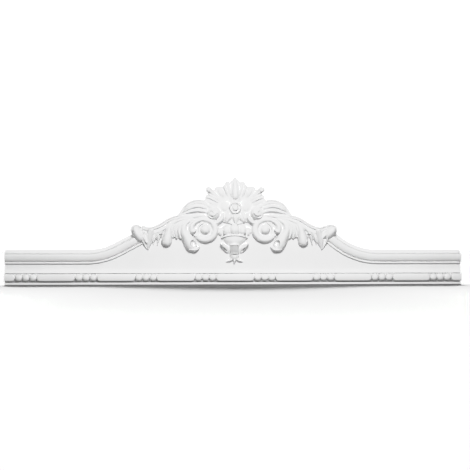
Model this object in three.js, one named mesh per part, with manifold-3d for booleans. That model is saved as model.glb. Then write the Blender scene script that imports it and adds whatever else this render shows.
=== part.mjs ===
// Door pediment cast in one piece: a bead-and-reel rail, a plain field, a cornice that sweeps up
// at both ends, and an acanthus, rosette and urn carving over the middle.
// Millimetres, +Z up. The carved front faces -Y, the flat back lies against the wall.
import * as THREE from 'three';
import { ParametricGeometry } from 'three/addons/geometries/ParametricGeometry.js';
import { mergeVertices } from 'three/addons/utils/BufferGeometryUtils.js';
import Module from 'manifold-3d';

const wasm = await Module();
wasm.setup();

// The whole ornament. Depths are measured from the wall towards the front.
const width = 1280;
const railHeight = 97;
const fieldDepth = 30;

// The cornice along the top edge. Drops are measured down from the top edge.
const corniceDrop = 36.5;
const lipDepth = 8;
const lipDrop = 5;
const shoulderDrop = 9;
const crestDepth = 42;
const crestDrop = 15;
const quirkDepth = 32;
const quirkDrop = 30;
const quirkWidth = 1.3;
const filletDepth = 36;
const filletWidth = 4.2;

// The sweep of the cornice at each end: an arc out of the straight rail, then a straight rise.
const sweeps = {
  right: { start: 405, radius: 170, slope: 38 },
  left: { start: 414, radius: 165, slope: 28 },
};
const cornerX = 268;

// The rail under the field.
const footDepth = 30;
const footRise = 5.6;
const footFillet = 4.2;
const footFilletDepth = 39;
const grooveDepth = 27;
const grooveWidth = 2.8;
const bedDepth = 31;
const channelEdge = 1.4;
const flareDepth = 37.5;
const flareRise = 18;

// The bead-and-reel row on its bed.
const beadDiameter = 19.6;
const beadProud = 16;
const beadPitch = 20;
const beadsPerGroup = 3;
const reelLength = 105;
const reelGap = 0.5;

// The carving stands on the field. Its heights are measured from the field's face.
const rosetteHeight = 215.5;
const rosetteRadius = 45;
const lowerPetals = 0.8;
const bossRadius = 17;
const bossRise = 24;
const fruitRadius = 18;
const fruitRise = 27;
const voluteRadius = 36;
const voluteBand = 28;
const voluteEye = 14;
const voluteRise = 23;
const urnCentre = -2;
const urnTilt = 8;
const gadroonRise = 24;
const groundRise = 7;
const carvingFace = 22;

// How far the carving's roots go down into the field, and how far all roots pass the wall plane
// before the back is cut flat.
const rootSink = 7;

// A carved stroke's section is a dome: half an ellipse at 1, nearer a box below that.
const fullness = 0.7;

// A stroke is cut into steps along its length, with a few more to round its ends.
const endSteps = 2.6;
const stepLength = 28;
const backRun = 6;

const degrees = THREE.MathUtils.degToRad;

// Casting a closed geometry into a solid that can be joined and cut.
function solid(geometry) {
  geometry.deleteAttribute('normal');
  geometry.deleteAttribute('uv');
  const welded = mergeVertices(geometry, 1e-3);
  const corners = welded.index.array;
  const triVerts = [];
  for (let i = 0; i < corners.length; i += 3) {
    const [a, b, c] = corners.subarray(i, i + 3);
    if (a !== b && b !== c && c !== a) {
      triVerts.push(a, b, c);
    }
  }
  const vertProperties = welded.attributes.position.array;
  return new wasm.Manifold(new wasm.Mesh({ numProp: 3, vertProperties, triVerts: Uint32Array.from(triVerts) }));
}

function joined(solids) {
  return solids.reduce((sum, next) => sum.add(next));
}

function mirrored(geometry) {
  const flipped = mergeVertices(geometry.scale(-1, 1, 1));
  const index = flipped.index.array;
  for (let i = 0; i < index.length; i += 3) {
    [index[i], index[i + 1]] = [index[i + 1], index[i]];
  }
  return flipped;
}

// A point on the ornament from its place across, its depth from the wall and its height.
function place(x, depth, z) {
  return new THREE.Vector3(x, -depth, z);
}

// A closed skin over rings of points, each end closed on the middle of its ring.
function loft(rings) {
  const around = rings[0].length;
  const cap = (ring) => {
    const middle = ring.reduce((sum, point) => sum.add(point), new THREE.Vector3()).divideScalar(around);
    return ring.map(() => middle);
  };
  const rows = [cap(rings[0]), ...rings, cap(rings[rings.length - 1])];
  const lastRow = rows.length - 1;
  const skin = (u, v, target) => {
    target.copy(rows[Math.round(v * lastRow)][Math.round((1 - u) * around) % around]);
  };
  return new ParametricGeometry(skin, around, lastRow);
}

// A smooth run through a list of values, for t from 0 to 1.
function run(values) {
  const curve = new THREE.SplineCurve(values.map((value, i) => new THREE.Vector2(i, value)));
  return (t) => curve.getPoint(t).y;
}

// A carved stroke. spine holds [x, z] points, half the half-widths and rise the heights over the
// field at those points. hollows is the number of flutes across it, hollow their share of the rise.
// rounded says which of its two ends is round.
function stroke(spine, half, rise, { hollows = 0, hollow = 0.3, rounded = [false, true] } = {}) {
  const line = new THREE.SplineCurve(spine.map(([x, z]) => new THREE.Vector2(x, z)));
  const length = line.getLength();
  const halfAt = run(half);
  const riseAt = run(rise);
  const root = fieldDepth - rootSink;
  const across = 4 + 2 * hollows;
  const steps = Math.round(endSteps + length / stepLength);
  const smallest = 0.6;
  const ends = [half[0], half[half.length - 1]];
  const rings = [];
  for (let i = 0; i <= steps; i += 1) {
    const t = (1 - Math.cos((Math.PI * i) / steps)) / 2;
    let taper = 1;
    [t, 1 - t].forEach((share, end) => {
      const inward = 1 - (share * length) / ends[end];
      if (rounded[end] && inward > 0) {
        taper = Math.sqrt(1 - Math.min(inward, 0.99) ** 2);
      }
    });
    const middle = line.getPoint(t);
    const heading = line.getTangent(t);
    const reach = Math.max(smallest, halfAt(t) * taper);
    const lift = Math.max(smallest, (riseAt(t) + rootSink) * Math.sqrt(taper));
    const ring = [];
    for (let j = 0; j <= across; j += 1) {
      const turn = (Math.PI * j) / across;
      const flute = 1 - hollow * Math.sin(hollows * turn) ** 2;
      const side = -Math.cos(turn) * reach;
      const depth = root + lift * Math.sin(turn) ** fullness * flute;
      ring.push(place(middle.x - heading.y * side, depth, middle.y + heading.x * side));
    }
    ring.push(ring[across].clone().setY(backRun), ring[0].clone().setY(backRun));
    rings.push(ring);
  }
  return loft(rings);
}

// A stroke bent along an arc about a centre, from one angle to another in degrees.
function arc([x, z], radius, from, to, half, rise, options) {
  const bends = 6;
  const spine = [];
  for (let i = 0; i <= bends; i += 1) {
    const angle = degrees(from + ((to - from) * i) / bends);
    spine.push([x + radius * Math.cos(angle), z + radius * Math.sin(angle)]);
  }
  return stroke(spine, half, rise, options);
}

// A ball or egg that stands out of the field by rise.
function knob([x, z], [halfWidth, halfHeight], rise, [around, down] = [10, 6]) {
  const deep = (halfWidth + halfHeight) / 2;
  return new THREE.SphereGeometry(1, around, down)
    .rotateX(Math.PI / 2)
    .scale(halfWidth, deep, halfHeight)
    .translate(x, deep - fieldDepth - rise, z);
}

// A flat board with the given outline, from behind the wall plane to a depth.
function board(outline, depth) {
  const shape = new THREE.Shape(outline.map(([x, z]) => new THREE.Vector2(x, z)));
  return new THREE.ExtrudeGeometry(shape, { depth: depth + backRun, bevelEnabled: false, curveSegments: 5 })
    .translate(0, 0, -backRun)
    .rotateX(Math.PI / 2);
}

// A round flat disc that stands out of the field by rise.
function disc([x, z], radius, rise) {
  const depth = fieldDepth + rise + backRun;
  return new THREE.CylinderGeometry(radius, radius, depth, 18)
    .translate(x, depth / 2 - fieldDepth - rise, z);
}

// The rail's section, run straight across the width: foot, groove, bed of the beads and flare.
const grooveRise = footRise + footFillet;
const bedRise = grooveRise + grooveWidth;
const beadRise = bedRise + beadDiameter / 2;
const bedTop = beadRise + (beadDiameter + channelEdge) / 2;
const flareTop = bedTop + flareRise;

function rail() {
  const section = new THREE.Shape();
  section.moveTo(-backRun, -backRun);
  section.lineTo(footDepth - backRun, -backRun);
  section.lineTo(footDepth, 0);
  section.lineTo(footFilletDepth, footRise);
  section.lineTo(footFilletDepth, grooveRise);
  section.quadraticCurveTo(grooveDepth, grooveRise, grooveDepth, grooveRise + grooveWidth / 2);
  section.lineTo(bedDepth, bedRise);
  section.lineTo(bedDepth, bedTop);
  section.lineTo(flareDepth, bedTop + channelEdge / 2);
  section.quadraticCurveTo(fieldDepth, bedTop + flareRise / 3, fieldDepth, flareTop);
  section.lineTo(fieldDepth - rootSink, flareTop);
  section.lineTo(-backRun, flareTop);
  const across = new THREE.Matrix4().makeBasis(place(0, 1, 0), place(0, 0, 1), place(-1, 0, 0));
  return new THREE.ExtrudeGeometry(section, { depth: width, bevelEnabled: false, curveSegments: 4 })
    .applyMatrix4(across)
    .translate(width / 2, 0, 0);
}

// Groups of beads with a long reel between them, centred on the middle reel and cut off square
// with the rail at both ends. They lie half in their bed, and stand out of it more than they are high.
function beadRow() {
  const groupPitch = reelLength + beadsPerGroup * beadPitch + 2 * reelGap;
  const pairs = Math.ceil(width / 2 / groupPitch);
  const radius = beadDiameter / 2;
  const row = [];
  const add = (geometry, x) => {
    row.push(geometry.rotateZ(Math.PI / 2).scale(1, beadProud / radius, 1).translate(x, -bedDepth, beadRise));
  };
  for (let i = -pairs; i <= pairs; i += 1) {
    add(new THREE.CapsuleGeometry(radius, reelLength - beadDiameter, 2, 8), i * groupPitch);
    for (let j = 0; j < beadsPerGroup; j += 1) {
      const x = (i + 0.5) * groupPitch + (j - (beadsPerGroup - 1) / 2) * beadPitch;
      add(new THREE.SphereGeometry(radius, 8, 4), x);
    }
  }
  return row;
}

// The cornice's top edge at one end, from the cut end inwards: points with the way down from them.
function topEdge({ start, radius, slope }) {
  const bends = 5;
  const edge = [{ x: width / 2, z: railHeight, lean: 0 }];
  for (let i = 0; i <= bends; i += 1) {
    const lean = (degrees(slope) * i) / bends;
    edge.push({ x: start - radius * Math.sin(lean), z: railHeight + radius * (1 - Math.cos(lean)), lean });
  }
  const last = edge[edge.length - 1];
  const climb = (last.x - cornerX) * Math.tan(last.lean);
  edge.push({ x: cornerX, z: last.z + climb, lean: last.lean });
  return edge;
}

// A point a given drop under the top edge, square to it.
function under({ x, z, lean }, drop) {
  return [x - Math.sin(lean) * drop, z - Math.cos(lean) * drop];
}

// The cornice's section as depths and drops: lip, cove, round, quirk and fillet.
function corniceSection() {
  const shoulderDepth = crestDepth - 12;
  const path = new THREE.Path();
  path.moveTo(-backRun, 0);
  path.lineTo(lipDepth, 0);
  path.lineTo(lipDepth, lipDrop);
  path.quadraticCurveTo(lipDepth + 2, shoulderDrop, shoulderDepth, shoulderDrop);
  path.quadraticCurveTo(crestDepth, shoulderDrop, crestDepth, crestDrop);
  path.quadraticCurveTo(crestDepth, quirkDrop - 5, quirkDepth, quirkDrop);
  path.lineTo(quirkDepth, quirkDrop + quirkWidth / 2);
  path.lineTo(filletDepth, quirkDrop + quirkWidth);
  path.lineTo(filletDepth, quirkDrop + quirkWidth + filletWidth);
  path.lineTo(fieldDepth - rootSink, corniceDrop);
  path.lineTo(-backRun, corniceDrop);
  return path.getPoints(3);
}

function cornice(sweep) {
  const section = corniceSection();
  const rings = topEdge(sweep).map((edge) => section.map((point) => {
    const [x, z] = under(edge, point.y);
    return place(x, point.x, z);
  }));
  return loft(rings);
}

// The field: a flat board under the cornice, carried up behind the carving as its ground.
function field() {
  const tuck = corniceDrop / 2;
  const ground = [[250, 138], [222, 140], [192, 166], [150, 184], [140, 208], [106, 226], [74, 236], [66, 252],
    [45, 262], [16, 274]];
  const right = topEdge(sweeps.right).map((edge) => under(edge, tuck));
  const left = topEdge(sweeps.left).map((edge) => under(edge, tuck));
  const flip = ([x, z]) => [-x, z];
  const base = flareTop - flareRise / 2;
  return board([
    [-width / 2, base], [width / 2, base],
    ...right, ...ground,
    ...[...left, ...ground].reverse().map(flip),
  ], fieldDepth);
}

// The frilled collar behind the rosette, right half: lobes with a bud at the shoulder.
function collar() {
  return [
    stroke([[8, 244], [14, 264], [20, 286]], [8, 9, 6.5], [8, 12, 9]),
    stroke([[18, 246], [25, 262], [31, 277]], [7, 8, 4.5], [8, 12, 9]),
    stroke([[28, 242], [38, 258], [48, 273]], [9, 11, 8], [8, 13, 10]),
    stroke([[42, 240], [57, 253], [74, 267]], [6, 7.5, 7.5], [11, 15, 17]),
    stroke([[46, 233], [62, 243], [77, 249]], [7, 8, 5], [8, 12, 10]),
    stroke([[48, 224], [64, 232], [80, 238]], [8, 9, 6], [8, 12, 10]),
    stroke([[50, 212], [66, 219], [82, 225]], [9, 9, 6], [8, 11, 9]),
    stroke([[12, 208], [20, 190], [27, 175]], [10, 13, 6], [10, 14, 10]),
  ];
}

// The collar's ground on both sides of the middle, with the middle leaf, its tip and its foot.
function collarMiddle() {
  const half = [[13, 287], [20, 289], [26, 284], [33.5, 276], [48, 274.5], [58, 264.5], [70, 268], [77, 264],
    [75, 254], [82, 245], [85, 236], [84, 225], [78, 210], [60, 190], [40, 178], [20, 172]];
  const flip = ([x, z]) => [-x, z];
  return [
    board([[0, 301], ...half, ...[...half].reverse().map(flip)], fieldDepth + groundRise),
    stroke([[0, 240], [0, 262], [0, 284], [0, 302]], [15, 17, 11, 0.6], [8, 13, 11, 3],
      { rounded: [false, false] }),
    stroke([[1, 208], [1.5, 190], [2, 171]], [12, 13, 6], [12, 16, 11]),
  ];
}

// The dished boss with a ball in it, turned about the line that points out of the wall.
function boss() {
  const ball = bossRadius - 6;
  const rim = bossRise - 3;
  const profile = [
    [0, -backRun - fieldDepth], [bossRadius, -backRun - fieldDepth], [bossRadius, rim - 6],
    [bossRadius - 1.5, rim - 1], [bossRadius - 3.5, rim], [ball + 0.5, rim - 5],
    [ball - 1.5, rim - 2], [ball / 2, bossRise - 1], [0, bossRise],
  ];
  return new THREE.LatheGeometry(profile.map(([radius, rise]) => new THREE.Vector2(radius, rise)), 12)
    .rotateX(Math.PI)
    .translate(0, -fieldDepth, rosetteHeight);
}

// Five petals about the boss.
function rosette() {
  const upper = [90, 12, 168].map((angle) => ({ angle, reach: rosetteRadius }));
  const lower = [236, 304].map((angle) => ({ angle, reach: rosetteRadius * lowerPetals }));
  const petals = [...upper, ...lower].map(({ angle, reach }) => {
    const [dx, dz] = [Math.cos(degrees(angle)), Math.sin(degrees(angle))];
    const spine = [0.25, 0.6, 1].map((share) => [dx * reach * share, rosetteHeight + dz * reach * share]);
    return stroke(spine, [12, reach / 2, reach / 2.1], [12, 16, 14], { hollows: 1, hollow: 0.16 });
  });
  return [...petals, boss()];
}

// Fruit beside the rosette with the curled leaf under it, right side.
function fruit() {
  const centre = [61, 199.5];
  return [
    knob(centre, [fruitRadius, fruitRadius], fruitRise, [12, 6]),
    arc(centre, fruitRadius + 9, 178, 300, [3, 7, 8, 7, 2], [14, 18, 18, 16, 10]),
  ];
}

// The upper acanthus leaf on its ground, the stem under it and the volute with its hook, right side.
function scroll() {
  const eye = [84, 155];
  const blunt = { rounded: [false, false] };
  return [
    board([[70, 226], [84, 233], [103, 237], [121, 234], [135, 227], [145, 217], [158, 195], [150, 186],
      [84, 184], [66, 200]], fieldDepth + groundRise),
    stroke([[78, 224], [98, 231], [116, 229], [143, 213]], [8, 8, 8, 3], [11, 14, 14, 9], blunt),
    stroke([[78, 214], [100, 220], [120, 218], [151, 198]], [8, 9, 9, 2], [12, 16, 16, 8], blunt),
    stroke([[78, 204], [100, 208], [120, 206], [156, 194]], [7, 7.5, 7, 2], [12, 15, 15, 8], blunt),
    stroke([[66, 190], [94, 193], [118, 191], [140, 184]], [5, 5.5, 5.5, 5], [12, 15, 15, 12]),
    stroke([[60, 180], [90, 183], [110, 177], [122, 163], [120, 142]], [6, 7, 8.5, 11, 12],
      [14, 18, 20, 22, 20]),
    disc(eye, voluteRadius, groundRise),
    arc(eye, voluteBand, 52, 326, [6, 9, 10, 10.5, 10.5, 10, 9], [15, 17, 18, 18, 17, 16, 15]),
    knob(eye, [voluteEye, voluteEye], voluteRise),
  ];
}

// The long acanthus leaf with its hanging lobes, out to the roll that ends the cornice, right side.
// The first lobe hangs in front of the volute like a spoon with a curled lip.
function arm() {
  const pointed = { rounded: [false, false] };
  return [
    stroke([[118, 186], [139, 172], [144, 152], [132, 127], [116.5, 95]], [5, 9, 13, 17.5, 19],
      [14, 19, 21, 21, 19]),
    stroke([[130, 100], [113, 98], [105, 102], [98, 108]], [6, 6, 4.5, 0.8], [17, 19, 17, 8], pointed),
    stroke([[96, 180], [150, 170], [200, 150], [246, 142]], [14, 26, 20, 14], [8, 9, 8, 6]),
    stroke([[112, 190], [150, 190], [182, 181], [212, 163], [262, 160]], [4, 6, 6, 6, 7], [14, 17, 17, 16, 15]),
    stroke([[120, 188], [150, 183], [180, 170], [208, 152], [258, 146]], [4, 6, 7, 7, 7], [14, 18, 18, 16, 14]),
    stroke([[126, 188], [150, 174], [158, 152], [152, 128]], [5, 7, 7.5, 4], [14, 18, 17, 10]),
    stroke([[140, 186], [160, 170], [167, 152], [163, 128]], [5, 6.5, 7, 4], [14, 17, 16, 9]),
    stroke([[152, 184], [169, 168], [175, 152], [171, 132]], [5, 6, 6, 4], [14, 17, 16, 9]),
    stroke([[160, 181], [180, 165], [187, 146], [194, 108]], [5, 9, 12.5, 15], [14, 18, 20, 18]),
    stroke([[186, 168], [204, 154], [213, 136], [218, 110]], [6, 8, 6.5, 0.8], [12, 15, 13, 6], pointed),
    stroke([[200, 162], [217, 148], [225, 132], [229, 112]], [6, 8, 6, 0.8], [12, 14, 12, 6], pointed),
    stroke([[234, 154], [240, 134], [243, 116], [243.5, 96]], [12, 14, 11, 0.8], [22, 17, 11, 3], pointed),
    stroke([[256, 150], [260, 136], [257, 121], [246, 99]], [6, 6, 4, 0.8], [20, 19, 13, 4], pointed),
  ];
}

// The spoon's bowl and the gap under the hook, which are cut out of the carving, right side. Each is
// an egg that points out of the wall, whose inner end stays a given rise over the field.
function hollows() {
  const egg = ([x, z], [halfWidth, halfHeight], rise) => new THREE.SphereGeometry(1, 8, 6)
    .rotateX(Math.PI / 2)
    .scale(halfWidth, carvingFace, halfHeight)
    .translate(x, -fieldDepth - rise - carvingFace, z);
  return [
    egg([116, 118.5], [5.2, 9], carvingFace / 3),
    egg([113, 134], [7.5, 3.6], carvingFace / 8),
  ];
}

// The leaf end rolled over the cornice's end, along the line in which the cornice stops: a thick
// fold on the outside and a thin one behind it.
function roll(sweep) {
  const end = topEdge(sweep).pop();
  const [out, side] = [9, 6];
  const outer = [-8, corniceDrop * 0.35, corniceDrop - 3].map((drop) => {
    const [x, z] = under(end, drop);
    return [x + out, z];
  });
  const inner = outer.map(([x, z]) => [x - side - out, z - side]);
  return [
    stroke(outer, [13, 16, 12], [22, 25, 17], { rounded: [true, true] }),
    stroke(inner, [6, 8, 6], [17, 19, 14], { rounded: [true, true] }),
  ];
}

// The urn that hangs under the collar: gadroons, arched rim, bowl, calyx and pendant.
function urn() {
  const dip = (across) => urnTilt * (across / 42) ** 2;
  const ovals = [[0, 14.5, 16], [22.5, 11.5, 15], [37, 9.5, 12]];
  const gadroons = ovals.flatMap(([across, halfWidth, halfHeight]) => {
    const rise = gadroonRise * (1 - (across / 52) ** 2);
    const offsets = [...new Set([-across, across])];
    return offsets.map((offset) => (
      knob([urnCentre + offset, 155 - dip(offset)], [halfWidth, halfHeight], rise, [8, 5])
    ));
  });
  const rimSpine = [-38, -19, 0, 19, 38].map((across) => [urnCentre + across, 139 - dip(across)]);
  return [
    ...gadroons,
    stroke([[urnCentre, 168], [urnCentre, 152], [urnCentre, 138]], [30, 42, 38], [10, 15, 14]),
    stroke(rimSpine, [3, 3, 3, 3, 3], [15, 20, 22, 20, 15], { rounded: [true, true] }),
    stroke([[urnCentre, 136], [urnCentre, 124], [urnCentre, 112], [urnCentre, 100]], [39, 33, 21, 14],
      [18, 17, 12, 10], { rounded: [false, false] }),
    stroke([[urnCentre, 84], [urnCentre, 97], [urnCentre, 112]], [11, 13.5, 13], [7, 17, 25],
      { rounded: [false, false] }),
    stroke([[urnCentre, 84.5], [urnCentre, 78], [urnCentre, 67]], [15, 16, 13], [12, 13, 9]),
    stroke([[urnCentre, 76], [urnCentre, 66], [urnCentre - 1, 56]], [5, 4.5, 0.8], [10, 12, 5]),
    ...[-1, 1].flatMap((side) => [
      stroke([[urnCentre + side * 10, 84], [urnCentre + side * 21, 99], [urnCentre + side * 40, 116]],
        [8, 10, 0.8], [3, 12, 25]),
      stroke([[urnCentre + side * 6, 74], [urnCentre + side * 13, 68], [urnCentre + side * 25, 65]],
        [6, 4, 0.8], [9, 10, 6]),
    ]),
  ];
}

// The joined and trimmed forms as one body, without the crumbs and pinholes that joining leaves.
function casting() {
  const halves = () => [...collar(), ...fruit(), ...scroll(), ...arm()];
  const pieces = [
    rail(), field(), ...beadRow(),
    cornice(sweeps.right), mirrored(cornice(sweeps.left)),
    ...collarMiddle(), ...rosette(), ...urn(),
    ...halves(), ...halves().map(mirrored),
    ...roll(sweeps.right), ...roll(sweeps.left).map(mirrored),
  ].map(solid);
  const cuts = [...hollows(), ...hollows().map(mirrored)].map(solid);
  const room = 1000;
  const trim = new THREE.BoxGeometry(width, room, room).translate(0, -room / 2, room / 2);
  const bodies = joined(pieces).subtract(joined(cuts)).intersect(solid(trim)).decompose();
  return bodies.sort((one, other) => other.volume() - one.volume())[0];
}

// The origin is the middle of the outer box, on the underside.
function pediment() {
  const { vertProperties, triVerts } = casting().getMesh();
  const geometry = new THREE.BufferGeometry();
  geometry.setAttribute('position', new THREE.BufferAttribute(vertProperties, 3));
  geometry.setIndex(new THREE.BufferAttribute(triVerts, 1));
  geometry.computeBoundingBox();
  const middle = geometry.boundingBox.getCenter(new THREE.Vector3());
  geometry.translate(-middle.x, -middle.y, -geometry.boundingBox.min.z);
  geometry.computeVertexNormals();
  const mesh = new THREE.Mesh(geometry, new THREE.MeshStandardMaterial({
    color: 0xf1f1ef,
    roughness: 0.6,
    metalness: 0,
  }));
  mesh.name = 'pediment';
  return mesh;
}

const ornament = new THREE.Group();
ornament.add(pediment());

export default ornament;
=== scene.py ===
# Door pediment: the looks of one white primed foam casting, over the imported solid.
# Sizes are in millimetres, as a carver would mark them, and turn to metres when a mesh is made.
import math

import bpy
import numpy as np
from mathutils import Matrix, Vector


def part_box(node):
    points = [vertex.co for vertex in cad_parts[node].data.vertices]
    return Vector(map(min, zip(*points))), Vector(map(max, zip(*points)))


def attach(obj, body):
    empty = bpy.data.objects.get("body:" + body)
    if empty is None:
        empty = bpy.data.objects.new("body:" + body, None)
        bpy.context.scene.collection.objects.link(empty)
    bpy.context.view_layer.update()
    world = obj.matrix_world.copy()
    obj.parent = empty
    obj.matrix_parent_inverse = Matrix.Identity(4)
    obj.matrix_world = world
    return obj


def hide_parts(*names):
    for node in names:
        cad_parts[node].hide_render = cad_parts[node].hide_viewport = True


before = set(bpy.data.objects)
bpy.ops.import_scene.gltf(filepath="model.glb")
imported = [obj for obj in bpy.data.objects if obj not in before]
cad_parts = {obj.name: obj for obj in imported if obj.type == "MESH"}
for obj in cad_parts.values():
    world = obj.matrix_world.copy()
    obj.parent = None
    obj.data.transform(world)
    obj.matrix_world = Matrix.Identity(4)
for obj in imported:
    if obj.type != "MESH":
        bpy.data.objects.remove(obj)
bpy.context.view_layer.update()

MM = 0.001

# The outer box of the casting, from the frame. The wall is behind it, at the back.
casting_low, casting_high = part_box("pediment")
width = (casting_high.x - casting_low.x) / MM
wall_y = casting_high.y / MM

# The cornice. Depths are measured from the wall towards the front, drops down from its top edge.
field_depth = 30
rail_height = 97
cornice_drop = 38
lip_depth = 20
lip_drop = 5
lip_cove = 2
shoulder_depth = 30
shoulder_drop = 9
crest_depth = 42
crest_drop = 15
crest_curl = 3
quirk_depth = 34
quirk_drop = 32.2
quirk_width = 1.3
fillet_depth = 36
fillet_width = 3.2

# How the cornice rises at each end: where it leaves the level, in x, the bend's radius and the slope.
sweeps = {"right": (405, 170, 38), "left": (414, 165, 28)}
sweep_bends = 28
corner_x = 268

# The rail under the field, from the underside up.
foot_depth = 36
foot_rise = 1.6
foot_fillet = 6.4
foot_fillet_depth = 39
groove_depth = 27
groove_width = 2.6
bed_depth = 31
flare_depth = 35.5
channel_edge = 1.4
flare_rise = 15

# The beads and reels. Lower flatness gives a flatter front, and lower fullness a blunter end. The
# core is the rod that runs through them, as a share of their own thickness.
bead_diameter = 21.4
bead_gap = 0.3
bead_proud = 16
bead_pitch = 20
beads_per_group = 3
reel_length = 105
reel_gap = 0.5
bead_flatness = 0.45
reel_flatness = 0.15
end_fullness = 0.6
bead_core = 0.54
bead_sides = 28
bead_end_rings = 10
bead_pole_gap = 0.04

groove_rise = foot_rise + foot_fillet
bed_rise = groove_rise + groove_width
bead_rise = bed_rise + bead_diameter / 2
bed_top = bead_rise + bead_diameter / 2 + channel_edge / 2
flare_top = bed_top + flare_rise
bead_end = (bead_pitch - bead_gap) / 2

# The carving. Rises are measured from the field's face. The two lower petals are a share of the
# others' length, and each roll's head stands some way over the cornice's top edge.
rosette_height = 215.5
rosette_radius = 45
lower_petals = 0.8
boss_radius = 17
boss_rise = 24
fruit_radius = 18
fruit_rise = 26
volute_radius = 36
volute_band = 28
volute_eye = 14
volute_rise = 23
urn_centre = -2
urn_tilt = 8
gadroon_rise = 24
ground_rise = 7
volute_ground_rise = 9
roll_heads = {"right": 8, "left": 15}
roll_out = 9
roll_side = 6

# How deep the carving's forms reach below the field's face, and how far all forms run behind the
# wall's plane before they are trimmed. Cuts are measured down from the carving's face, and the egg
# that makes one is some times as long as its cut is deep.
root_sink = 7
back_run = 6
carving_face = 22
egg_length = 3

# How finely the carving is modelled and fused.
stroke_step = 1.6
spine_samples = 60
fewest_steps = 14
fewest_across = 12
least_reach = 0.6
vein_width = 0.14
arc_points = 13
curve_points = 10
turned_sides = 72
knob_rings = 24
pole_gap = 0.05
boss_rings = 40
voxel = 1.15
carving_triangles = 105000
sharp_angle = 38

# The dim light all round, under and over the casting, and the backdrop, bright enough to show white.
sky_below = 0.17
sky_above = 0.3
backdrop_strength = 1.1

# The picture's tones: for some amounts of light, the amount that is shown.
highlights = ((0.4, 0.37), (0.74, 0.81), (0.97, 0.92))


def catmull(points, t):
    """Points of a smooth run through a list, for t from 0 to 1."""
    points = np.asarray(points, float)
    last = len(points) - 1
    place = np.clip(t, 0, 1) * last
    at = np.minimum(place.astype(int), last - 1)
    w = place - at
    p0 = points[np.maximum(at - 1, 0)]
    p1 = points[at]
    p2 = points[at + 1]
    p3 = points[np.minimum(at + 2, last)]
    if points.ndim > 1:
        w = w[:, None]
    v0 = (p2 - p0) / 2
    v1 = (p3 - p1) / 2
    return (2 * p1 - 2 * p2 + v0 + v1) * w**3 + (-3 * p1 + 3 * p2 - 2 * v0 - v1) * w**2 + v0 * w + p1


class Skins:
    """Closed skins gathered into one mesh. Points are across, depth from the wall, and height."""

    def __init__(self):
        self.points = []
        self.faces = []
        self.count = 0

    def add(self, points, faces):
        self.points.append(np.asarray(points, float))
        self.faces += [tuple(self.count + corner for corner in face) for face in faces]
        self.count += len(points)

    def add_all(self, skins, side=1):
        for points, faces in skins:
            points = np.asarray(points, float) * (side, 1, 1)
            self.add(points, faces if side > 0 else [face[::-1] for face in faces])

    def mesh(self, name):
        points = np.vstack(self.points)
        points[:, 1] = wall_y - points[:, 1]
        mesh = bpy.data.meshes.new(name)
        mesh.from_pydata((points * MM).tolist(), [], self.faces)
        mesh.update()
        thing = bpy.data.objects.new(name, mesh)
        bpy.context.scene.collection.objects.link(thing)
        return thing


def loft(rings):
    """A closed skin over rings of points, each end closed on the middle of its ring."""
    rows, around = rings.shape[:2]
    points = np.vstack([rings.reshape(-1, 3), rings[0].mean(0), rings[-1].mean(0)])
    faces = []
    for row in range(rows - 1):
        here = row * around
        for j in range(around):
            k = (j + 1) % around
            faces.append((here + j, here + around + j, here + around + k, here + k))
    start = rows * around
    last = (rows - 1) * around
    for j in range(around):
        k = (j + 1) % around
        faces.append((start, j, k))
        faces.append((start + 1, last + k, last + j))
    return points, faces


def stroke(spine, half, rise, hollows=0, hollow=0, rounded=(False, True), fullness=0.9, vein=0):
    """A carved stroke: a domed ridge along its spine, fluted by hollows and split by a vein.

    half and rise are its half width and height along the spine. rounded says which ends taper off
    in a round. A lower fullness gives a flatter top with steeper sides."""
    rough = catmull(spine, np.linspace(0, 1, spine_samples))
    length = np.linalg.norm(np.diff(rough, axis=0), axis=1).sum()
    steps = max(fewest_steps, int(length / stroke_step))
    t = (1 - np.cos(np.pi * np.linspace(0, 1, steps + 1))) / 2
    taper = np.ones_like(t)
    for share, end, is_round in ((t, half[0], rounded[0]), (1 - t, half[-1], rounded[1])):
        if is_round:
            inward = np.clip(1 - share * length / end, 0, 0.99)
            taper = taper * np.sqrt(1 - inward**2)
    middle = catmull(spine, t)
    heading = catmull(spine, np.minimum(t + 1e-3, 1)) - catmull(spine, np.maximum(t - 1e-3, 0))
    heading /= np.linalg.norm(heading, axis=1)[:, None]
    reach = np.maximum(least_reach, catmull(half, t) * taper)
    lift = np.maximum(least_reach, (catmull(rise, t) + root_sink) * np.sqrt(taper))
    across = fewest_across + 2 * int(max(half))
    turn = np.pi * np.linspace(0, 1, across + 1)
    dome = np.sin(turn) ** fullness * (1 - hollow * np.sin(hollows * turn) ** 2)
    groove = vein * np.exp(-((np.cos(turn) / vein_width) ** 2))
    side = -np.cos(turn)
    rings = np.zeros((steps + 1, across + 3, 3))
    rings[:, : across + 1, 0] = middle[:, None, 0] - heading[:, None, 1] * side * reach[:, None]
    rings[:, : across + 1, 2] = middle[:, None, 1] + heading[:, None, 0] * side * reach[:, None]
    rings[:, : across + 1, 1] = field_depth - root_sink + lift[:, None] * (dome - groove)
    rings[:, across + 1] = rings[:, across]
    rings[:, across + 2] = rings[:, 0]
    rings[:, across + 1 :, 1] = -back_run
    return loft(rings)


def arc(centre, radius, start, end, half, rise, **options):
    """A stroke bent along an arc about a centre, from one angle to another in degrees."""
    angles = np.radians(np.linspace(start, end, arc_points))
    spine = np.column_stack([centre[0] + radius * np.cos(angles), centre[1] + radius * np.sin(angles)])
    return stroke(spine, half, rise, **options)


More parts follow.
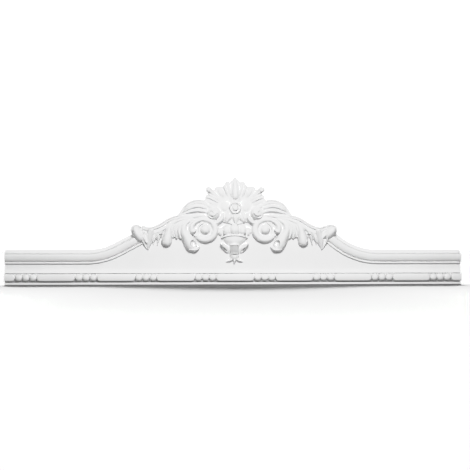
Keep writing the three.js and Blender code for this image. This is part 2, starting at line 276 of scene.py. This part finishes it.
def turned(centre, profile, squash=1.0):
    """A form turned about the line out of the wall, from a profile of radii and depths."""
    angles = np.linspace(0, 2 * np.pi, turned_sides, endpoint=False)
    rings = np.zeros((len(profile), turned_sides, 3))
    for row, (radius, depth) in enumerate(profile):
        rings[row, :, 0] = centre[0] + radius * np.cos(angles)
        rings[row, :, 1] = depth
        rings[row, :, 2] = centre[1] - radius * squash * np.sin(angles)
    return loft(rings)


def egg(centre, half_sizes, depth, tilt=0.0):
    """A long egg that cuts into the carving, to a depth under its face, and stands clear above it."""
    points, faces = knob([0, 0], half_sizes, 0)
    turn = math.radians(tilt)
    x, z = points[:, 0], points[:, 2]
    low = field_depth + carving_face - depth
    share = (points[:, 1] - points[:, 1].min()) / np.ptp(points[:, 1])
    deep = share * egg_length * depth + low
    across = centre[0] + x * math.cos(turn) - z * math.sin(turn)
    up = centre[1] + x * math.sin(turn) + z * math.cos(turn)
    return np.column_stack([across, deep, up]), faces


def knob(centre, half_sizes, rise):
    """A ball or egg that stands out of the field by rise."""
    half_width, half_height = half_sizes
    deep = (half_width + half_height) / 2
    middle = field_depth + rise - deep
    lats = np.linspace(-np.pi / 2 + pole_gap, np.pi / 2 - pole_gap, knob_rings)
    profile = [(half_width * math.cos(a), middle + deep * math.sin(a)) for a in lats]
    return turned(centre, profile, squash=half_height / half_width)


def plate(outline, rise, bevel):
    """A flat ground with a rounded border, from behind the wall's plane to a rise over the field."""
    smooth = catmull([*outline, outline[0]], np.linspace(0, 1, 8 * len(outline) + 1)[:-1])
    middle = smooth.mean(0)
    ahead = np.roll(smooth, -1, 0) - np.roll(smooth, 1, 0)
    inward = np.column_stack([-ahead[:, 1], ahead[:, 0]]) / np.linalg.norm(ahead, axis=1)[:, None]
    if np.sum(inward * (middle - smooth)) < 0:
        inward = -inward
    rings = []
    face = field_depth + rise
    for share, depth in ((0, -back_run), (0, face - bevel), (0.3, face - bevel / 3), (1, face)):
        shape = smooth + inward * share * bevel
        rings.append(np.column_stack([shape[:, 0], np.full(len(shape), depth), shape[:, 1]]))
    points, faces = loft(np.array(rings))
    area = np.sum(smooth[:, 0] * np.roll(smooth[:, 1], -1) - np.roll(smooth[:, 0], -1) * smooth[:, 1])
    return points, faces if area < 0 else [face[::-1] for face in faces]


def collar_ground():
    """The collar's frilled ground on both sides of the middle."""
    half = [
        [7, 293], [12.8, 287.5], [16, 286.5], [20, 289], [25, 287], [27, 281], [30, 279], [33.5, 276],
        [38, 272], [42, 274], [48, 275], [54, 272], [57, 266], [60, 264.5], [66, 268], [74, 270],
        [77, 266], [76, 259], [74, 255], [78.5, 252], [82, 247], [82, 241], [86, 236], [84, 225],
        [78, 210], [60, 190], [40, 178], [20, 172],
    ]
    outline = [[0, 301], *half, [0, 170], *[[-x, z] for x, z in half[::-1]]]
    return plate(outline, ground_rise, 2.5)


def collar():
    """The frilled collar behind the rosette, right half: hollowed lobes with a bud at the shoulder."""
    return [
        stroke([[8, 244], [14, 264], [20, 286]], [7, 8, 6], [10, 17, 12], hollows=1, hollow=0.2),
        stroke([[18, 246], [25, 262], [31, 277]], [6, 6.5, 4], [8, 14, 11]),
        stroke([[28, 242], [38, 258], [48, 273]], [8, 10, 7.5], [10, 18, 12], hollows=1, hollow=0.24),
        stroke([[44, 241], [60, 254], [72, 264.5]], [6, 7.5, 7.5], [8, 14, 17]),
        knob([74, 266], [7.5, 7], 19),
        stroke([[44, 236], [60, 246], [75, 254]], [5, 6.5, 4], [8, 15, 10]),
        stroke([[46, 230], [62, 240], [79, 246]], [5, 6.5, 4], [8, 16, 11]),
        stroke([[48, 222], [64, 231], [80, 238]], [7, 8, 5], [10, 17, 11], hollows=1, hollow=0.24),
        stroke([[50, 211], [66, 218], [82, 225]], [8, 8, 5.5], [8, 15, 9]),
        stroke([[12, 208], [20, 190], [27, 175]], [10, 13, 6], [12, 18, 12], vein=0.16),
    ]


def collar_middle():
    """The collar's ground, the tall leaf over the rosette and the short one under it."""
    return [
        collar_ground(),
        stroke([[0, 237], [0, 258], [0, 282], [0, 301]], [14, 16.5, 11, 0.6], [20, 21, 15, 3],
               rounded=(True, False), hollows=2, hollow=0.12, vein=0.05),
        stroke([[1, 208], [1.5, 190], [2, 171]], [12, 13, 6], [12, 19, 12], vein=0.16),
    ]


def boss():
    """The dished boss with a ball in it."""
    ball = boss_radius - 6
    rim = boss_rise - 3
    knots = [
        (boss_radius, -back_run - field_depth), (boss_radius, rim - 6), (boss_radius - 1.5, rim - 1),
        (boss_radius - 3.5, rim), (ball + 0.5, rim - 9), (ball - 2, rim - 3),
        (ball / 2, boss_rise - 1), (0.4, boss_rise),
    ]
    smooth = catmull(knots[1:], np.linspace(0, 1, boss_rings))
    profile = [(radius, field_depth + rise) for radius, rise in [knots[0], *smooth]]
    return turned([0, rosette_height], profile)


def rosette():
    """Five petals about the boss."""
    petals = []
    upper = [(90, 1), (12, 1), (168, 1)]
    lower = [(236, lower_petals), (304, lower_petals)]
    for angle, share in upper + lower:
        out = np.array([math.cos(math.radians(angle)), math.sin(math.radians(angle))])
        reach = rosette_radius * share
        spine = [out * reach * step + (0, rosette_height) for step in (0.25, 0.6, 1)]
        petals.append(stroke(spine, [11, reach / 2.2, reach / 2.4], [12, 17.5, 15], hollows=1, hollow=0.22))
    return [*petals, boss()]


def fruit():
    """Fruit beside the rosette with the curled leaf under it, right side."""
    centre = [61, 199.5]
    x, z = centre
    return [
        knob(centre, [fruit_radius, fruit_radius], fruit_rise),
        arc([x - 3, z + 4], 8, 170, 350, [1.2, 2.8, 2.8, 1.2], [24, 26.8, 26.8, 24], rounded=(True, True)),
        arc([x + 2, z - 2], 11, 20, 150, [1.2, 2.8, 2.8, 1.2], [20, 25.5, 26, 21], rounded=(True, True)),
        arc([x + 3, z + 1], 13.5, 225, 350, [1.2, 2.8, 2.8, 1.2], [19, 23, 23, 18], rounded=(True, True)),
        arc(centre, fruit_radius + 9, 178, 300, [3, 7, 8, 7, 2], [14, 18, 18, 16, 10]),
    ]


def scroll():
    """The upper acanthus leaf, the stem under it and the volute with its curled hook, right side."""
    eye = [84, 155]
    x, z = eye
    blunt = {"rounded": (False, False)}
    leaf = [
        [70, 226], [84, 233], [103, 237], [121, 234], [135, 227], [145, 217], [152, 206], [158, 195],
        [150, 186], [120, 182], [84, 184], [66, 200],
    ]
    disc = [
        [x + volute_radius * math.cos(a), z + volute_radius * math.sin(a)]
        for a in np.radians(range(0, 360, 20))
    ]
    return [
        plate(leaf, ground_rise, 2.0),
        stroke([[78, 224], [98, 231], [116, 229], [132, 222], [143, 213]], [7, 7, 7, 6, 2.5],
               [12, 17, 17, 14, 9], **blunt),
        stroke([[78, 214], [100, 220], [120, 218], [138, 209], [151, 198]], [7, 7.5, 7.5, 6, 2],
               [13, 20, 20, 17, 8], **blunt),
        stroke([[78, 204], [100, 208], [120, 206], [138, 201], [156, 194]], [6, 6.5, 6, 4.5, 2],
               [13, 18, 18, 14, 8], **blunt),
        stroke([[66, 190], [94, 193], [118, 191], [140, 184]], [5, 5.5, 5.5, 5], [12, 15, 15, 12]),
        stroke([[60, 180], [90, 183], [110, 177], [122, 163], [120, 142]], [6, 7, 8.5, 11, 12],
               [14, 18, 20, 22, 20]),
        stroke([[118, 148], [113, 152], [109, 155]], [8, 6, 2], [22, 23, 20]),
        plate(disc, volute_ground_rise, 3.0),
        arc(eye, volute_band, 52, 326, [6, 9, 10, 10.5, 10.5, 10, 9], [15, 17, 18, 18, 17, 16, 15],
            fullness=0.55),
        arc(eye, 19.5, -20, 80, [1, 3, 4, 4], [14, 16, 17, 16]),
        knob(eye, [volute_eye, volute_eye], volute_rise),
    ]


def cup():
    """The lobe that hangs in front of the volute, hollowed like a spoon with a curled lip."""
    return [
        stroke([[118, 186], [139, 172], [144, 152], [132, 127], [116.5, 95]], [5, 9, 13, 17.5, 19],
               [14, 20, 22, 22, 20], fullness=0.8),
        stroke([[130, 100], [113, 98], [105, 102], [98, 108]], [6, 6, 4.5, 0.8], [17, 19, 17, 8],
               rounded=(False, False)),
    ]


def hollows():
    """Forms cut out of the carving, right side: the cup's bowl, gaps and notches, the fruit's lines."""
    return [
        egg([117, 116], [9, 12], 21, tilt=-12),
        egg([113, 134], [7.5, 3.6], 20, tilt=-15),
        egg([105.5, 151], [4.5, 1.6], 10, tilt=-20),
        egg([64, 204], [11, 1.5], 2.6, tilt=50),
        egg([56, 196], [10, 1.5], 3, tilt=-38),
        egg([68, 193], [8, 1.4], 4.5, tilt=18),
        egg([200.5, 124], [1.4, 4.5], 6, tilt=-20),
        egg([207, 141], [9.5, 2.6], 20, tilt=-6),
        egg([222, 120], [1.8, 8], 12, tilt=-24),
        egg([233, 123], [1.8, 8], 12, tilt=-24),
    ]


def calyx_hollows():
    """The hollowed undersides of the urn's two side leaves, and the notch under the calyx."""
    sides = [egg([urn_centre + side * 24, 97.5], [13, 3.6], 20, tilt=side * 47) for side in (-1, 1)]
    return [*sides, egg([urn_centre, 86.5], [17, 2], 21)]


def arm():
    """The long acanthus leaf with its hanging lobes, out to the roll, right side."""
    pointed = {"rounded": (False, False)}
    return [
        *cup(),
        stroke([[96, 180], [150, 170], [200, 150], [246, 142]], [14, 26, 20, 14], [8, 9, 8, 6]),
        stroke([[112, 190], [150, 190], [182, 181], [212, 163], [240, 155], [262, 160]], [4, 6, 6, 6, 5, 6],
               [14, 17, 17, 16, 14, 15]),
        stroke([[120, 188], [150, 183], [180, 170], [208, 152], [236, 145], [258, 146]], [4, 6, 7, 7, 6, 7],
               [14, 18, 18, 16, 13, 14]),
        stroke([[126, 188], [150, 174], [158, 152], [152, 128]], [5, 7, 7.5, 4], [14, 18, 17, 10]),
        stroke([[140, 186], [160, 170], [167, 152], [163, 128]], [5, 6.5, 7, 4], [14, 17, 16, 9]),
        stroke([[152, 184], [169, 168], [175, 152], [171, 132]], [5, 6, 6, 4], [14, 17, 16, 9]),
        stroke([[160, 181], [180, 165], [187, 146], [191, 126], [194, 108]], [5, 9, 12.5, 15.5, 15],
               [14, 19, 21, 22, 19], fullness=0.8),
        stroke([[186, 168], [204, 154], [213, 136], [218, 110]], [6, 8, 6.5, 0.8],
               [12, 15, 13, 6], **pointed),
        stroke([[200, 162], [217, 148], [225, 132], [229, 112]], [6, 8, 6, 0.8],
               [12, 14, 12, 6], **pointed),
        stroke([[234, 154], [240, 134], [243, 116], [243.5, 96]], [12, 14, 11, 0.8],
               [22, 17, 11, 3], **pointed),
        stroke([[256, 150], [260, 136], [257, 121], [246, 99]], [6, 6, 4, 0.8],
               [20, 19, 13, 4], **pointed),
    ]


def top_edge(which):
    """The cornice's top edge at one end, from the cut end inwards: x, z and how far it leans."""
    start, radius, slope = sweeps[which]
    edge = [(width / 2, rail_height, 0.0)]
    for lean in np.radians(np.linspace(0, slope, sweep_bends + 1)):
        edge.append((start - radius * math.sin(lean), rail_height + radius * (1 - math.cos(lean)), lean))
    x, z, lean = edge[-1]
    edge.append((corner_x, z + (x - corner_x) * math.tan(lean), lean))
    return edge


def under(edge, drop):
    """A point a given drop under the top edge, square to it."""
    x, z, lean = edge
    return [x - math.sin(lean) * drop, z - math.cos(lean) * drop]


def roll(which):
    """The leaf end rolled over the cornice's end, along the line in which the cornice stops."""
    end = top_edge(which)[-1]
    drops = (-roll_heads[which], cornice_drop * 0.35, cornice_drop - 3)
    outer = [[x + roll_out, z] for x, z in (under(end, drop) for drop in drops)]
    inner = [[x - roll_side - roll_out, z - roll_side] for x, z in outer]
    return [
        stroke(outer, [13, 16, 12], [22, 25, 17], rounded=(True, True)),
        stroke(inner, [6, 8, 6], [17, 19, 14], rounded=(True, True)),
    ]


def urn():
    """The urn under the collar: gadroons, arched rim, bowl, calyx and pendant."""
    flat = {"rounded": (False, False)}
    round_ends = {"rounded": (True, True)}

    def dip(across):
        return urn_tilt * (across / 42) ** 2

    def at(across, height):
        return [urn_centre + across, height]

    parts = []
    for across, half_width, half_height in ((0, 14.5, 16), (22.5, 11.5, 15), (37, 9.5, 12)):
        for offset in sorted({-across, across}):
            rise = gadroon_rise * (1 - (across / 52) ** 2)
            parts.append(knob(at(offset, 155 - dip(offset)), [half_width, half_height], rise))
    rim = [at(across, 139 - dip(across)) for across in (-38, -19, 0, 19, 38)]
    parts += [
        stroke([at(0, 168), at(0, 152), at(0, 138)], [30, 42, 38], [10, 15, 14]),
        stroke(rim, [3, 3, 3, 3, 3], [15, 20, 22, 20, 15], **round_ends),
        stroke([at(0, 136), at(0, 124), at(0, 112), at(0, 100)], [39, 33, 21, 14], [18, 17, 12, 10], **flat),
        stroke([at(0, 84), at(0, 97), at(0, 112)], [11, 13.5, 13], [7, 17, 25], fullness=0.5, **flat),
        stroke([at(-12, 110.5), at(0, 112.5), at(12, 110.5)], [2, 2.6, 2], [23, 27, 23], **round_ends),
        stroke([at(0, 88), at(0, 77), at(0, 67)], [14, 13.5, 10], [13, 13, 9]),
        stroke([at(0, 76), at(0, 66), at(-1, 56)], [5, 4.5, 0.8], [10, 12, 5]),
    ]
    for side in (-1, 1):
        leaf = [at(side * 12.5, 91), at(side * 22.5, 101), at(side * 40, 116)]
        tail = [at(side * 6, 74), at(side * 13, 68), at(side * 25, 65)]
        parts.append(stroke(leaf, [8, 10, 0.8], [3, 12, 25], fullness=0.5))
        parts.append(stroke(tail, [6, 4, 0.8], [9, 10, 6]))
    return parts


def bezier(a, b, c):
    """Points of a curve from a to c that leans to b, without its first point."""
    a, b, c = (np.array(point, float) for point in (a, b, c))
    t = np.linspace(0, 1, curve_points + 1)[1:, None]
    return (1 - t) ** 2 * a + 2 * t * (1 - t) * b + t**2 * c


def prism(outline, start, end):
    """A closed skin over an outline run straight from one ring to another, with flat ends."""
    outline = np.asarray(outline, float)
    count = len(outline)
    points = np.vstack([start(outline), end(outline)])
    faces = [(j, (j + 1) % count, count + (j + 1) % count, count + j) for j in range(count)]
    faces.append(tuple(range(count))[::-1])
    faces.append(tuple(range(count, 2 * count)))
    return points, faces


def rail():
    """Foot, groove, bed of the beads and flare, run straight across the width."""
    section = [
        (-back_run, -back_run), (foot_depth - back_run, -back_run), (foot_depth, 0),
        (foot_fillet_depth, foot_rise), (foot_fillet_depth, groove_rise),
        *bezier((foot_fillet_depth, groove_rise), (groove_depth, groove_rise),
                (groove_depth, groove_rise + groove_width / 2)),
        (bed_depth, bed_rise), (bed_depth, bed_top), (flare_depth, bed_top + channel_edge / 2),
        *bezier((flare_depth, bed_top + channel_edge / 2), (field_depth, bed_top + flare_rise / 3),
                (field_depth, flare_top)),
        (field_depth - root_sink, flare_top), (-back_run, flare_top),
    ]

    def at(x):
        return lambda outline: np.column_stack([np.full(len(outline), x), outline[:, 0], outline[:, 1]])

    return prism(section, at(width / 2), at(-width / 2))


def cornice(which):
    """Lip, shoulder, crest, quirk and fillet, run along the top edge of one end."""
    section = [
        (-back_run, 0), (lip_depth, 0), (lip_depth, lip_drop),
        *bezier((lip_depth, lip_drop), (lip_depth + lip_cove, shoulder_drop),
                (shoulder_depth, shoulder_drop)),
        *bezier((shoulder_depth, shoulder_drop), (crest_depth, shoulder_drop), (crest_depth, crest_drop)),
        *bezier((crest_depth, crest_drop), (crest_depth, quirk_drop - crest_curl), (quirk_depth, quirk_drop)),
        (quirk_depth, quirk_drop + quirk_width / 2), (fillet_depth, quirk_drop + quirk_width),
        (fillet_depth, quirk_drop + quirk_width + fillet_width), (field_depth - root_sink, cornice_drop),
        (-back_run, cornice_drop),
    ]
    rings = []
    for edge in top_edge(which):
        ring = []
        for depth, drop in section:
            x, z = under(edge, drop)
            ring.append((x, depth, z))
        rings.append(ring)
    return loft(np.array(rings))


def field():
    """The flat board under the cornice, carried up behind the carving as its ground."""
    tuck = cornice_drop / 2
    ground = [
        [250, 138], [222, 140], [192, 166], [150, 184], [140, 208], [106, 226], [74, 236], [66, 252],
        [45, 262], [16, 274],
    ]
    right = [under(edge, tuck) for edge in top_edge("right")]
    left = [under(edge, tuck) for edge in top_edge("left")]
    base = flare_top - flare_rise / 2
    flipped = [[-x, z] for x, z in [*left, *ground]][::-1]
    outline = [[-width / 2, base], [width / 2, base], *right, *ground, *flipped]

    def at(depth):
        return lambda shape: np.column_stack([shape[:, 0], np.full(len(shape), depth), shape[:, 1]])

    return prism(outline, at(-back_run), at(field_depth))


def bead(x, half_length, flatness, share=1.0):
    """A bead or reel turned about the row's line, its ends rounded and its front flattened."""
    angles = np.linspace(0, 2 * np.pi, bead_sides, endpoint=False)
    ends = np.linspace(bead_pole_gap, math.pi / 2, bead_end_rings)
    straight = half_length - bead_end
    profile = [(-straight - bead_end * math.cos(a), math.sin(a) ** end_fullness) for a in ends]
    profile += [(straight + bead_end * math.cos(a), math.sin(a) ** end_fullness) for a in ends[::-1]]
    if straight == 0:
        profile.pop(bead_end_rings)
    rings = np.zeros((len(profile), bead_sides, 3))
    flat = np.sign(np.cos(angles)) * np.abs(np.cos(angles)) ** flatness
    for row, (along, reach) in enumerate(profile):
        rings[row, :, 0] = x + along
        rings[row, :, 1] = bed_depth + share * bead_proud * reach**flatness * flat
        rings[row, :, 2] = bead_rise + share * bead_diameter / 2 * reach * np.sin(angles)
    return loft(rings)


def bead_row():
    """Groups of beads with a long reel between them."""
    group_pitch = reel_length + beads_per_group * bead_pitch + 2 * reel_gap
    pairs = math.ceil(width / 2 / group_pitch)
    row = []
    for i in range(-pairs, pairs + 1):
        row.append(bead(i * group_pitch, reel_length / 2, reel_flatness))
        for j in range(beads_per_group):
            x = (i + 0.5) * group_pitch + (j - (beads_per_group - 1) / 2) * bead_pitch
            row.append(bead(x, bead_end, bead_flatness))
    return row


def bead_string():
    """The thinner rod that runs through the whole row and fills the bottoms of its gaps."""
    return bead(0, width / 2 + bead_pitch, bead_flatness, bead_core)


def apply_to(thing, kind, **settings):
    """Adds one modifier to the thing and applies it to its mesh."""
    modifier = thing.modifiers.new(kind.lower(), kind)
    for name, value in settings.items():
        setattr(modifier, name, value)
    graph = bpy.context.evaluated_depsgraph_get()
    mesh = bpy.data.meshes.new_from_object(thing.evaluated_get(graph))
    thing.modifiers.clear()
    old = thing.data
    thing.data = mesh
    bpy.data.meshes.remove(old)


def join_to(thing, other, operation="UNION"):
    """Joins the other thing to this one, or cuts or trims this one by it, and removes the other."""
    apply_to(thing, "BOOLEAN", object=other, operation=operation, solver="MANIFOLD")
    bpy.data.objects.remove(other)


def carving():
    """All strokes and knobs fused into one skin, thinned, and then cut by the hollows."""
    skins = Skins()
    skins.add_all([*collar_middle(), *rosette(), *urn()])
    for side in (1, -1):
        skins.add_all([*collar(), *fruit(), *scroll(), *arm()], side)
    skins.add_all(roll("right"))
    skins.add_all(roll("left"), -1)
    thing = skins.mesh("carving")
    size = voxel
    apply_to(thing, "REMESH", mode="VOXEL", voxel_size=size * MM, adaptivity=0)
    apply_to(thing, "SMOOTH", factor=0.5, iterations=2)
    apply_to(thing, "DECIMATE", ratio=min(1, carving_triangles / 2 / len(thing.data.polygons)))
    cuts = Skins()
    cuts.add_all(hollows())
    cuts.add_all(hollows(), -1)
    cuts.add_all(calyx_hollows())
    join_to(thing, cuts.mesh("cuts"), "DIFFERENCE")
    return thing


def moulding():
    """Rail, field, rod, bead row and both cornices, joined one after another."""
    members = []
    for skins, side in (
        ([rail()], 1), ([field()], 1), ([cornice("right")], 1), ([bead_string()], 1), (bead_row(), 1),
        ([cornice("left")], -1),
    ):
        member = Skins()
        member.add_all(skins, side)
        members.append(member.mesh("moulding"))
    body = members[0]
    for member in members[1:]:
        join_to(body, member)
    return body


def trim_block():
    """The space in front of the wall, over the underside and between the cut ends."""
    room = 1000
    corners = [[x, depth, z] for x in (-width / 2, width / 2) for depth in (0, room) for z in (0, room)]
    faces = [(2, 3, 1, 0), (5, 7, 6, 4), (1, 5, 4, 0), (6, 7, 3, 2), (4, 6, 2, 0), (3, 7, 5, 1)]
    block = Skins()
    block.add(corners, faces)
    return block.mesh("trim_block")


def hex_colour(text):
    """An sRGB hex colour as linear values."""
    values = [int(text[i : i + 2], 16) / 255 for i in (0, 2, 4)]
    return [c / 12.92 if c <= 0.04045 else ((c + 0.055) / 1.055) ** 2.4 for c in values] + [1.0]


def add_node(tree, kind, links=None, **settings):
    """A node with its settings, and its inputs set to a value or linked to an output."""
    node = tree.nodes.new(kind)
    for name, value in settings.items():
        setattr(node, name, value)
    for name, value in (links or {}).items():
        if isinstance(value, bpy.types.NodeSocket):
            tree.links.new(value, node.inputs[name])
        else:
            node.inputs[name].default_value = value
    return node


def primed_foam():
    """White acrylic primer sprayed on moulded polyurethane foam: matt, faintly mottled in colour and
    gloss, with a fine orange peel and the slow waves of the mould's skin."""
    material = bpy.data.materials.new("primed_polyurethane_foam")
    material.use_nodes = True
    tree = material.node_tree
    tree.nodes.clear()
    place = add_node(tree, "ShaderNodeTexCoord").outputs["Object"]
    per_mm = 1 / MM
    mottle = add_node(tree, "ShaderNodeTexNoise", {"Vector": place, "Scale": per_mm / 60, "Detail": 4.0})
    peel = add_node(tree, "ShaderNodeTexNoise", {"Vector": place, "Scale": per_mm / 1.6, "Detail": 2.0})
    waves = add_node(tree, "ShaderNodeTexNoise", {"Vector": place, "Scale": per_mm / 14, "Detail": 2.0})
    tint = add_node(tree, "ShaderNodeMix", {
        "Factor": mottle.outputs["Fac"], "A": hex_colour("ececec"), "B": hex_colour("f3f3f3"),
    }, data_type="RGBA")
    gloss = add_node(tree, "ShaderNodeMapRange", {
        "Value": mottle.outputs["Fac"], "To Min": 0.5, "To Max": 0.62,
    })
    fine = add_node(tree, "ShaderNodeBump", {
        "Height": peel.outputs["Fac"], "Strength": 0.12, "Distance": 0.2 * MM,
    })
    broad = add_node(tree, "ShaderNodeBump", {
        "Height": waves.outputs["Fac"], "Strength": 0.25, "Distance": 0.6 * MM,
        "Normal": fine.outputs["Normal"],
    })
    shader = add_node(tree, "ShaderNodeBsdfPrincipled", {
        "Base Color": tint.outputs["Result"], "Roughness": gloss.outputs["Result"],
        "Normal": broad.outputs["Normal"], "IOR": 1.48,
    })
    add_node(tree, "ShaderNodeOutputMaterial", {"Surface": shader.outputs["BSDF"]})
    return material


def pediment():
    """The whole casting as one mesh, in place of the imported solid."""
    body = moulding()
    join_to(body, carving())
    join_to(body, trim_block(), "INTERSECT")
    body.name = "carved_pediment"
    body.data.name = "carved_pediment"
    body.data.shade_smooth()
    body.data.set_sharp_from_angle(angle=math.radians(sharp_angle))
    apply_to(body, "WEIGHTED_NORMAL", mode="FACE_AREA", weight=80, keep_sharp=True)
    body.data.materials.clear()
    body.data.materials.append(primed_foam())
    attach(body, "root")
    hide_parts("pediment")


def studio_world():
    """White as the camera sees it, and a dim soft light on the casting, brighter from above."""
    world = bpy.data.worlds.new("studio")
    bpy.context.scene.world = world
    world.use_nodes = True
    tree = world.node_tree
    tree.nodes.clear()
    path = add_node(tree, "ShaderNodeLightPath")
    up = add_node(tree, "ShaderNodeTexCoord")
    split = add_node(tree, "ShaderNodeSeparateXYZ", {"Vector": up.outputs["Generated"]})
    height = add_node(tree, "ShaderNodeMapRange", {
        "Value": split.outputs["Z"], "From Min": -1.0, "To Min": sky_below, "To Max": sky_above,
    })
    light = add_node(tree, "ShaderNodeBackground", {"Strength": height.outputs["Result"]})
    backdrop = add_node(tree, "ShaderNodeBackground", {"Strength": backdrop_strength})
    for node in (light, backdrop):
        node.inputs["Color"].default_value = (1, 1, 1, 1)
    both = add_node(tree, "ShaderNodeMixShader", {"Fac": path.outputs["Is Camera Ray"]})
    tree.links.new(light.outputs["Background"], both.inputs[1])
    tree.links.new(backdrop.outputs["Background"], both.inputs[2])
    add_node(tree, "ShaderNodeOutputWorld", {"Surface": both.outputs["Shader"]})


def softbox(name, place, aim, size, power):
    """A soft rectangular lamp at a place, turned to what it lights."""
    light = bpy.data.lights.new(name, "AREA")
    light.shape = "RECTANGLE"
    light.size, light.size_y = size
    light.energy = power
    lamp = bpy.data.objects.new(name, light)
    lamp.location = place
    lamp.rotation_mode = "QUATERNION"
    lamp.rotation_quaternion = (Vector(aim) - Vector(place)).to_track_quat("-Z", "Y")
    bpy.context.scene.collection.objects.link(lamp)
    return lamp


def sunlight(name, place, spread, strength):
    """Soft even light from one side. spread is its angle across in degrees."""
    light = bpy.data.lights.new(name, "SUN")
    light.angle = math.radians(spread)
    light.energy = strength
    lamp = bpy.data.objects.new(name, light)
    lamp.rotation_mode = "QUATERNION"
    lamp.rotation_quaternion = Vector(place).to_track_quat("Z", "Y")
    bpy.context.scene.collection.objects.link(lamp)
    return lamp


def lit_alone(lamp, things):
    """A lamp that lights only these things, though the rest still shades them."""
    group = bpy.data.collections.new(lamp.name + "_lights")
    for thing in things:
        group.objects.link(thing)
    lamp.light_linking.receiver_collection = group


def photo_curve():
    """The tones of a product photograph: full white stays white, and light greys lie close together."""
    view = bpy.context.scene.view_settings
    view.view_transform = "Standard"
    view.use_curve_mapping = True
    tones = view.curve_mapping.curves[-1]
    for light, tone in highlights:
        tones.points.new(light, tone)
    view.curve_mapping.update()


def pale_floor():
    """A wide matt floor that takes the casting's shadow and throws no light back on it."""
    half = 6.0
    corners = [(-half, -half, 0), (half, -half, 0), (half, half, 0), (-half, half, 0)]
    mesh = bpy.data.meshes.new("floor")
    mesh.from_pydata(corners, [], [(0, 1, 2, 3)])
    floor = bpy.data.objects.new("floor", mesh)
    bpy.context.scene.collection.objects.link(floor)
    material = bpy.data.materials.new("pale_floor")
    material.use_nodes = True
    shader = material.node_tree.nodes["Principled BSDF"]
    shader.inputs["Base Color"].default_value = hex_colour("c4c4c4")
    shader.inputs["Roughness"].default_value = 0.9
    shader.inputs["Specular IOR Level"].default_value = 0.0
    mesh.materials.append(material)
    floor.visible_diffuse = False
    floor.visible_glossy = False
    return floor


def stage():
    """A plain pale floor and soft studio light: a high key, a weak fill and a lamp behind each end."""
    floor = pale_floor()
    studio_world()
    aim = (0, 0, 0.12)
    lamps = [
        softbox("key", (0.04, -1.5, 0.84), aim, (0.6, 0.45), 20.1),
        softbox("fill", (0.1, -2.4, 0.3), aim, (1.6, 1.2), 1.5),
        *[softbox("back_light", (side * 2.0, 1.8, 0.5), aim, (0.8, 0.8), 22) for side in (-1, 1)],
    ]
    floor_light = sunlight("floor_light", (0, 3, 1.75), 60, 9.8)
    lit_alone(floor_light, [floor])
    castings = [thing for thing in bpy.context.scene.objects if thing.type == "MESH" and thing != floor]
    for lamp in lamps:
        lit_alone(lamp, castings)
    photo_curve()


def camera():
    """A long lens in front and a touch to the left, level with the middle of the casting."""
    data = bpy.data.cameras.new("camera")
    data.sensor_width = 36
    data.lens = 79
    thing = bpy.data.objects.new("camera", data)
    bpy.context.scene.collection.objects.link(thing)
    turn = math.radians(-2.9)
    away = 2.9
    height = 0.140
    thing.location = (away * math.sin(turn), -away * math.cos(turn), height)
    thing.rotation_mode = "QUATERNION"
    thing.rotation_quaternion = (Vector((0, 0, height)) - thing.location).to_track_quat("-Z", "Y")
    bpy.context.scene.camera = thing


pediment()
stage()
camera()
